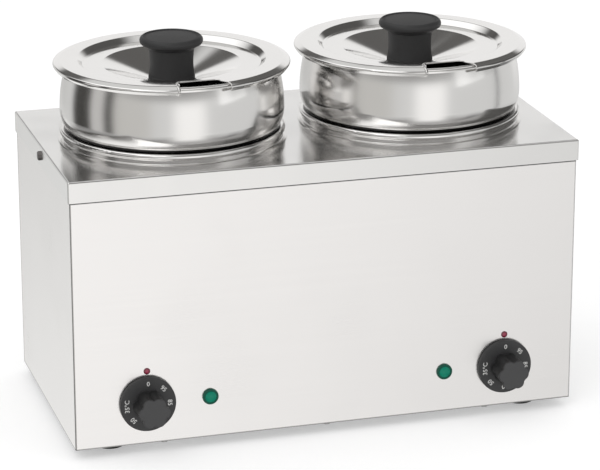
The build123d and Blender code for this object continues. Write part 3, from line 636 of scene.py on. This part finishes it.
def cut_away(mesh, tool_mesh):
    """A mesh with another one cut out of it."""
    body = bpy.data.objects.new("cut_body", mesh)
    tool = bpy.data.objects.new("cut_tool", tool_mesh)
    for item in (body, tool):
        bpy.context.scene.collection.objects.link(item)
    modifier = body.modifiers.new("cut", "BOOLEAN")
    modifier.operation = "DIFFERENCE"
    modifier.solver = "EXACT"
    modifier.object = tool
    result = bpy.data.meshes.new_from_object(
        body.evaluated_get(bpy.context.evaluated_depsgraph_get()))
    for item in (body, tool):
        data = item.data
        bpy.data.objects.remove(item)
        bpy.data.meshes.remove(data)
    return result


def smooth(mesh, limit):
    """Smooth shading except across edges sharper than the limit, in degrees."""
    mesh.polygons.foreach_set("use_smooth", [True] * len(mesh.polygons))
    mesh.set_sharp_from_angle(angle=math.radians(limit))


def lid_face(lid):
    """Radii and heights of a lid's outer face, from its skirt to the screw hole."""
    return rounded(
        [(lid.skirt, -lid.skirt_drop), (lid.corner, -lid.corner_drop), (lid.roll, 0.0),
         (lid.mouth, 0.0), (lid.recess, -lid.recess_drop), (lid.dish, -lid.recess_drop),
         (lid.floor, -lid.floor_drop), (lid.hole, -lid.floor_drop)],
        [lid.corner_round, lid.roll_round, lid.recess_round, lid.recess_round,
         lid.dish_round, lid.floor_round])


def notch_plan(lid, notch):
    """Outline of the notch from its left mouth round to its right mouth."""
    beyond = lid.corner + notch.beyond
    return rounded(
        [(-notch.left_mouth, -beyond), (-notch.left_mouth, -notch.left_bend - notch.bend),
         (-notch.half, -notch.left_bend), (-notch.half, -notch.reach),
         (notch.half, -notch.reach), (notch.half, -notch.right_bend),
         (notch.right_mouth, -notch.right_foot), (notch.right_mouth, -beyond)],
        [notch.bend, notch.bend, notch.corner, notch.corner, notch.bend, notch.bend])


def lid_mesh(lid, notch):
    """A pressed lid with its notch, centred on its axis with its brim at height 0."""
    face = lid_face(lid)
    made = spun(face + beside(face, lid.sheet)[::-1])
    plain = bpy.data.meshes.new("lid_plain")
    made.to_mesh(plain)
    made.free()
    mesh = cut_away(plain, prism(notch_plan(lid, notch), -lid.floor_drop, lid.floor_drop))
    smooth(mesh, limit=35)
    return mesh


def lip_path(lid, notch):
    """Points of the curled lip round the notch, with the lip's radius as a share at each."""
    middle_line = beside(lid_face(lid), lid.sheet / 2)
    widest = max(range(len(middle_line)), key=lambda index: middle_line[index].x)
    skirt, upper = middle_line[:widest + 1], middle_line[widest:]

    def level(radius):
        """Height of the lid's middle line at a radius."""
        for outer, inner in zip(upper, upper[1:]):
            if inner.x <= radius <= outer.x:
                share_done = (outer.x - radius) / max(outer.x - inner.x, TINY)
                return outer.y + (inner.y - outer.y) * share_done
        return upper[0].y

    widest_radius = upper[0].x
    plan = evenly(notch_plan(lid, notch), notch.lip)
    over_lid = [Vector((x, y, level(math.hypot(x, y)))) for x, y in plan
                if math.hypot(x, y) < widest_radius]

    def edge(across):
        """Down the skirt and along its lower edge, away from the notch."""
        down = [Vector((across, -math.sqrt(radius ** 2 - across ** 2), height))
                for radius, height in reversed(skirt)]
        start = math.asin(across / skirt[0].x)
        side = math.copysign(1.0, across)
        along = []
        for step in range(1, LIP_STEPS + 1):
            turn = start + side * notch.tail / skirt[0].x * step / LIP_STEPS
            along.append(Vector((skirt[0].x * math.sin(turn), -skirt[0].x * math.cos(turn),
                                 skirt[0].y)))
        return down + along

    left, right = edge(-notch.left_mouth), edge(notch.right_mouth)
    points = left[::-1] + over_lid + right
    shares = [notch.thin + (1.0 - notch.thin) * min(1.0, max(0.0, -point.x / notch.half))
              for point in points]
    for step in range(LIP_STEPS):
        taper = notch.tip + (1.0 - notch.tip) * step / LIP_STEPS
        shares[step] *= taper
        shares[-1 - step] *= taper
    return points, shares


def tube(points, shares, radius):
    """Mesh of a round bar along points, its radius scaled by a share at each."""
    curve = bpy.data.curves.new("tube", "CURVE")
    curve.dimensions = "3D"
    curve.bevel_depth = radius
    curve.bevel_resolution = 3
    curve.use_fill_caps = True
    spline = curve.splines.new("POLY")
    spline.points.add(len(points) - 1)
    for knot, point, scale in zip(spline.points, points, shares):
        knot.co = (*point, 1.0)
        knot.radius = scale
    holder = bpy.data.objects.new("tube", curve)
    bpy.context.scene.collection.objects.link(holder)
    mesh = bpy.data.meshes.new_from_object(holder)
    bpy.data.objects.remove(holder)
    smooth(mesh, limit=60)
    return mesh


def lettering(text, dial):
    """Mesh of one line of figures, centred on the origin in the XY plane, facing +Z."""
    curve = bpy.data.curves.new("figures", "FONT")
    curve.body = text
    curve.size = dial.height / dial.rise
    curve.extrude = dial.ink / 2
    curve.offset = dial.height * dial.weight
    curve.align_x = "CENTER"
    curve.space_character = dial.spacing
    holder = bpy.data.objects.new("figures", curve)
    bpy.context.scene.collection.objects.link(holder)
    mesh = bpy.data.meshes.new_from_object(holder)
    bpy.data.objects.remove(holder)
    tall = max(vertex.co.y for vertex in mesh.vertices)
    mesh.transform(Matrix.Translation((0.0, -tall / 2, 0.0)))
    return mesh


DIAL_FIGURES = {0: "0", 90: "35°C", 135: "50", 180: "60", 225: "70", 270: "85", 315: "95"}


def dial_numbers(side, dial, material):
    """The figures round one dial, as one mesh that turns with the knob."""
    centre = middle(f"control_knob_{side}")
    centre.y = PANEL_FRONT - dial.face
    upright = Matrix.Rotation(math.radians(90.0), 4, "X")
    joined = bmesh.new()
    for angle, text in DIAL_FIGURES.items():
        mesh = lettering(text, dial)
        turn = Matrix.Rotation(math.radians(angle), 4, "Z")
        mesh.transform(Matrix.Translation(centre) @ upright @ turn
                       @ Matrix.Translation((0.0, dial.ring, 0.0)))
        joined.from_mesh(mesh)
        bpy.data.meshes.remove(mesh)
    mesh = bpy.data.meshes.new(f"dial_numbers_{side}")
    joined.to_mesh(mesh)
    joined.free()
    return new_piece(f"dial_numbers_{side}", mesh, material, f"control_body_{side}")


# ---------------------------------------------------------------- stage

def look_at(camera, studio):
    """Puts the camera at its distance from the target, turned to look at it."""
    back = Vector((-math.sin(studio.yaw) * math.cos(studio.pitch),
                   -math.cos(studio.yaw) * math.cos(studio.pitch),
                   math.sin(studio.pitch)))
    camera.location = Vector(studio.target) + back * studio.distance
    camera.rotation_euler = back.to_track_quat("Z", "Y").to_euler()


# What bright metal sees of the room is this tone with panels on it. A panel has an azimuth
# from straight ahead to the right and a half width, a height above the horizon and a half
# height, and the softness of its edges, all in degrees, and then its tone.
ROOM_TONE = (0.71, 0.71, 0.705)
ROOM_PANELS = (
    ("floor ahead", 0, 60, -60, 34, 7, (0.33, 0.325, 0.32)),
    ("pale floor ahead", 6, 26, -58, 34, 9, (0.46, 0.455, 0.45)),
    ("floor at the left", -104, 56, -60, 36, 6, (0.07, 0.066, 0.062)),
    ("floor at the right", 92, 44, -60, 36, 6, (0.20, 0.20, 0.20)),
    ("wall ahead at the left", -57, 22, -5, 18, 8, (0.60, 0.59, 0.57)),
    ("pale light ahead", 4, 16, -12, 22, 8, (1.06, 1.05, 1.04)),
    ("room behind the camera", -16, 68, 41, 29, 6, (0.26, 0.255, 0.25)),
    ("wall behind", 164, 42, 14, 24, 8, (0.93, 0.925, 0.92)),
    ("low wall at the back left", -164, 16, -12, 14, 8, (0.63, 0.63, 0.62)),
    ("floor at the back left", -164, 16, -44, 26, 8, (0.98, 0.98, 0.97)),
    ("dark wall at the left", -105, 29, 8, 30, 5, (0.05, 0.048, 0.045)),
    ("gap in the dark wall", -96, 9, 8, 30, 4, (0.62, 0.61, 0.60)),
    ("thin dark edge", 86, 2, -8, 15, 1, (0.08, 0.08, 0.08)),
    ("dark wall at the right", 93, 44, 34, 27, 6, (0.09, 0.088, 0.085)),
    ("dark corner behind", -156, 17, 22, 11, 5, (0.09, 0.088, 0.085)),
    ("dark ceiling behind", 156, 20, 37, 14, 3, (0.12, 0.117, 0.113)),
    ("dark wall behind at the left", -174, 14, 31, 8, 3, (0.12, 0.117, 0.113)),
    ("lamp overhead at the left", -110, 50, 66, 26, 8, (1.25, 1.25, 1.25)),
)


def room_shader(studio):
    """White behind the object; a pale room with darker walls in what the metal reflects."""
    world = bpy.data.worlds.new("studio_room")
    bpy.context.scene.world = world
    world.use_nodes = True
    finish = Finish(world.node_tree)
    direction = finish.node("ShaderNodeTexCoord", output="Generated")
    split = finish.node("ShaderNodeSeparateXYZ", inputs={0: direction})
    x, y, z = [Value(finish, split.socket.node.outputs[axis]) for axis in range(3)]
    azimuth = x.math("ARCTAN2", x, 0.0 - y) * (180 / math.pi)
    height = z.math("ARCSINE", z) * (180 / math.pi)
    seen = ROOM_TONE
    for _, across, half_width, up, half_height, soft, tone in ROOM_PANELS:
        aside = (azimuth - across).math("PINGPONG", azimuth - across, 180.0)
        inside = finish.fall(aside, (half_width - soft, half_width + soft)) * finish.fall(
            abs(height - up), (half_height - soft, half_height + soft))
        seen = finish.mix(inside, seen, tone)
    path = finish.node("ShaderNodeLightPath")
    rays = path.socket.node.outputs
    camera_ray = Value(finish, rays["Is Camera Ray"])
    glossy_ray = Value(finish, rays["Is Glossy Ray"])
    tone = finish.mix(glossy_ray, (studio.room,) * 3, seen)
    tone = finish.mix(camera_ray, tone, (1.0, 1.0, 1.0))
    shader = finish.node("ShaderNodeBackground", inputs={"Color": tone, "Strength": 1.0})
    finish.node("ShaderNodeOutputWorld", inputs={"Surface": shader})


def floor_shader(studio):
    """Pale floor that is white where nothing shades it."""
    material = bpy.data.materials.new("floor")
    material.use_nodes = True
    finish = Finish(material.node_tree)
    matt = finish.node("ShaderNodeBsdfDiffuse",
                       inputs={"Color": (*[studio.floor_tone] * 3, 1.0)})
    glow = finish.node("ShaderNodeEmission", inputs={"Color": (1.0, 1.0, 1.0, 1.0),
                                                     "Strength": studio.floor_glow})
    both = finish.node("ShaderNodeAddShader", inputs={0: matt, 1: glow})
    finish.node("ShaderNodeOutputMaterial", inputs={"Surface": both})
    return material


# Soft lamps, each with its width, its height, its power in watts and its place.
LAMPS = {
    "key": (1.4, 1.4, 9.0, (-1.3, -1.6, 2.0)),
    "fill": (1.6, 1.6, 3.0, (1.8, -1.5, 1.2)),
}
LAMP_AIM = Vector((0.0, 0.0, 0.2))


def area_light(name, width, height, power, place):
    """A soft rectangular lamp that points at the warmer."""
    light = bpy.data.lights.new(name, "AREA")
    light.shape = "RECTANGLE"
    light.size, light.size_y = width, height
    light.energy = power
    lamp = bpy.data.objects.new(name, light)
    bpy.context.scene.collection.objects.link(lamp)
    lamp.location = place
    lamp.rotation_euler = (Vector(place) - LAMP_AIM).to_track_quat("Z", "Y").to_euler()


def lay_floor(studio):
    """A square floor that bright metal doesn't see."""
    reach = studio.floor_reach
    mesh = bpy.data.meshes.new("floor")
    mesh.from_pydata([(-reach, -reach, 0), (reach, -reach, 0), (reach, reach, 0),
                      (-reach, reach, 0)], [], [(0, 1, 2, 3)])
    mesh.materials.append(floor_shader(studio))
    floor = bpy.data.objects.new("floor", mesh)
    bpy.context.scene.collection.objects.link(floor)
    floor.visible_glossy = False


def set_camera(studio):
    """The camera, looking at its target."""
    camera = bpy.data.objects.new("camera", bpy.data.cameras.new("camera"))
    camera.data.lens = studio.lens
    camera.data.sensor_width = 36.0
    camera.data.clip_end = 50.0
    bpy.context.scene.collection.objects.link(camera)
    look_at(camera, studio)
    bpy.context.scene.camera = camera


# ---------------------------------------------------------------- operators

class DressCasing(bpy.types.Operator):
    """Satin sheet for the casing, bright sheet for the cover, galvanised sheet below."""

    bl_idname = "warmer.dress_casing"
    bl_label = "Dress the casing"

    def execute(self, context):
        sheet = context.scene.warmer_sheet
        dress(satin_steel(sheet), "front_and_sides_shell", "rear_panel")
        dress(bright_steel(sheet), "top_cover")
        dress(plain_metal("galvanised_sheet", (0.52, 0.53, 0.54), roughness=0.34, mottle=0.12),
              "base_plate")
        return {"FINISHED"}


class DressPots(bpy.types.Operator):
    """Spun steel for wells and pots."""

    bl_idname = "warmer.dress_pots"
    bl_label = "Dress the wells and pots"

    def execute(self, context):
        sheet = context.scene.warmer_sheet
        dress(spun_steel("spun_steel", sheet, sheet.spun_gloss, streaks=0.75), *pair("well"),
              *pair("pot"))
        return {"FINISHED"}


class PressLids(bpy.types.Operator):
    """Lids with a rolled edge, a stepped dish and a notch with a curled lip."""

    bl_idname = "warmer.press_lids"
    bl_label = "Press the lids"

    def execute(self, context):
        lid, notch = context.scene.warmer_lid, context.scene.warmer_notch
        sheet = context.scene.warmer_sheet
        steel = spun_steel("pressed_steel", sheet, sheet.pressed_gloss, streaks=0.2)
        for side in SIDES:
            place = middle(f"pot_{side}")
            place.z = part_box(f"lid_{side}")[0].z + lid.floor_drop + lid.sheet
            at_home = Matrix.Translation(place) @ Matrix.Rotation(notch.turn, 4, "Z")
            mesh = lid_mesh(lid, notch)
            mesh.transform(at_home)
            shell = new_piece(f"pressed_lid_{side}", mesh, steel, f"lid_body_{side}")
            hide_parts(f"lid_{side}")
            mesh = tube(*lip_path(lid, notch), notch.lip)
            mesh.transform(at_home)
            new_piece(f"notch_lip_{side}", mesh, steel, f"lid_body_{side}")
        return {"FINISHED"}


class DressKnobs(bpy.types.Operator):
    """Charcoal moulding for the lid knobs and control knobs, and the dials' numbers."""

    bl_idname = "warmer.dress_knobs"
    bl_label = "Dress the knobs and print the dials"

    def execute(self, context):
        finish = context.scene.warmer_moulded
        dress(moulded("dial_moulding", shade(finish.knob_tone, 0.85), roughness=0.40,
                      detail=grip_face_light_and_flank_shade(finish)), *pair("control_knob"))
        dress(moulded("knob_moulding", shade(finish.knob_tone, 0.55), roughness=0.46,
                      detail=cap_rim_sheen_and_groove_shade(finish)), *pair("lid_knob"))
        figures = ink(finish.number_tone)
        for side in SIDES:
            dial_numbers(side, context.scene.warmer_dial, figures)
        return {"FINISHED"}


class DressLamps(bpy.types.Operator):
    """Green pilot lenses, red index marks and the lamp bodies behind the panel."""

    bl_idname = "warmer.dress_lamps"
    bl_label = "Dress the lamps and marks"

    def execute(self, context):
        finish = context.scene.warmer_moulded
        dress(lamp_glass(finish.lamp_tone), *pair("pilot_lens"))
        dress(enamel(finish.mark_tone), *pair("index_marker"))
        dress(moulded("lamp_moulding", (0.10, 0.10, 0.11), roughness=0.45), *pair("pilot_body"),
              "pilot_nuts", *pair("thermostat_body"), *pair("overheat_cutout"))
        return {"FINISHED"}


class DressFeet(bpy.types.Operator):
    """Matt black rubber feet."""

    bl_idname = "warmer.dress_feet"
    bl_label = "Dress the feet"

    def execute(self, context):
        rubber = moulded("foot_rubber", (0.022, 0.022, 0.022), roughness=0.62, texture=0.00006)
        dress(rubber, *[f"foot_{end}_{side}" for end in ("front", "rear") for side in SIDES])
        return {"FINISHED"}


class DressFasteners(bpy.types.Operator):
    """Plated steel for screws, nuts, studs, washers and shafts."""

    bl_idname = "warmer.dress_fasteners"
    bl_label = "Dress the fasteners"

    def execute(self, context):
        plated = plain_metal("plated_steel", (0.56, 0.56, 0.55), roughness=0.24, mottle=0.10)
        dark = plain_metal("dark_plated_steel", (0.20, 0.19, 0.185), roughness=0.30, mottle=0.25)
        dress(dark, "top_cover_screws")
        dress(plated, "foot_screws", "foot_nuts", "rear_panel_screws",
              "base_plate_screws", "heater_studs", "heater_nuts", "thermostat_screws",
              "terminal_block_screws", *pair("lid_knob_screw"), *pair("lid_knob_washer"),
              *pair("thermostat_shaft"))
        return {"FINISHED"}


class DressHeating(bpy.types.Operator):
    """Heaters, clamp plates, insulation, sensor bulbs and capillaries."""

    bl_idname = "warmer.dress_heating"
    bl_label = "Dress the heating"

    def execute(self, context):
        dress(plain_metal("heater_sheath", (0.17, 0.155, 0.145), roughness=0.42, mottle=0.25),
              *pair("heater_element"))
        dress(plain_metal("clamp_sheet", (0.62, 0.62, 0.63), roughness=0.30, mottle=0.08),
              *pair("heater_clamp_plate"))
        dress(woven("insulation_wool", (0.74, 0.71, 0.62)), *pair("insulation_jacket"))
        dress(plain_metal("copper", (0.62, 0.30, 0.17), roughness=0.28, mottle=0.15),
              *pair("thermostat_bulb"), *pair("capillary"))
        return {"FINISHED"}


class DressSupply(bpy.types.Operator):
    """Cable gland, terminals, earth stud and inner leads."""

    bl_idname = "warmer.dress_supply"
    bl_label = "Dress the supply entry"

    def execute(self, context):
        dress(moulded("gland_moulding", (0.035, 0.035, 0.036), roughness=0.42), "cable_gland",
              "gland_locknut")
        dress(moulded("block_moulding", (0.62, 0.61, 0.56), roughness=0.45), "terminal_block")
        dress(plain_metal("brass", (0.66, 0.46, 0.16), roughness=0.26, mottle=0.12),
              "earth_stud", "earth_nut")
        dress(woven("lead_braid", (0.70, 0.67, 0.58)), "internal_wiring")
        return {"FINISHED"}


class SetStage(bpy.types.Operator):
    """Pale floor, soft lamps, the room and the camera."""

    bl_idname = "warmer.set_stage"
    bl_label = "Set the stage"

    def execute(self, context):
        studio = context.scene.warmer_studio
        context.scene.view_settings.view_transform = "Standard"
        lay_floor(studio)
        room_shader(studio)
        for name, lamp in LAMPS.items():
            area_light(name, *lamp)
        set_camera(studio)
        return {"FINISHED"}


OPERATORS = (DressCasing, DressPots, PressLids, DressKnobs, DressLamps, DressFeet, DressFasteners,
             DressHeating, DressSupply, SetStage)


class WarmerPanel(bpy.types.Panel):
    """Lists the warmer's operators in the sidebar."""

    bl_idname = "VIEW3D_PT_warmer"
    bl_label = "Topping warmer"
    bl_space_type = "VIEW_3D"
    bl_region_type = "UI"
    bl_category = "Warmer"

    def draw(self, context):
        for operator in OPERATORS:
            self.layout.operator(operator.bl_idname)


def register():
    """Adds the property groups, the operators and the panel to Blender."""
    for group in GROUPS.values():
        bpy.utils.register_class(group)
    for name, group in GROUPS.items():
        setattr(bpy.types.Scene, name, PointerProperty(type=group))
    for operator in OPERATORS:
        bpy.utils.register_class(operator)
    bpy.utils.register_class(WarmerPanel)


def unregister():
    """Takes them out again, in reverse."""
    bpy.utils.unregister_class(WarmerPanel)
    for operator in reversed(OPERATORS):
        bpy.utils.unregister_class(operator)
    for name, group in GROUPS.items():
        delattr(bpy.types.Scene, name)
        bpy.utils.unregister_class(group)


def main():
    """Runs every operator."""
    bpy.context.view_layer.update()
    register()
    for operator in OPERATORS:
        area, command = operator.bl_idname.split(".")
        getattr(getattr(bpy.ops, area), command)()


if __name__ == "__main__":
    main()
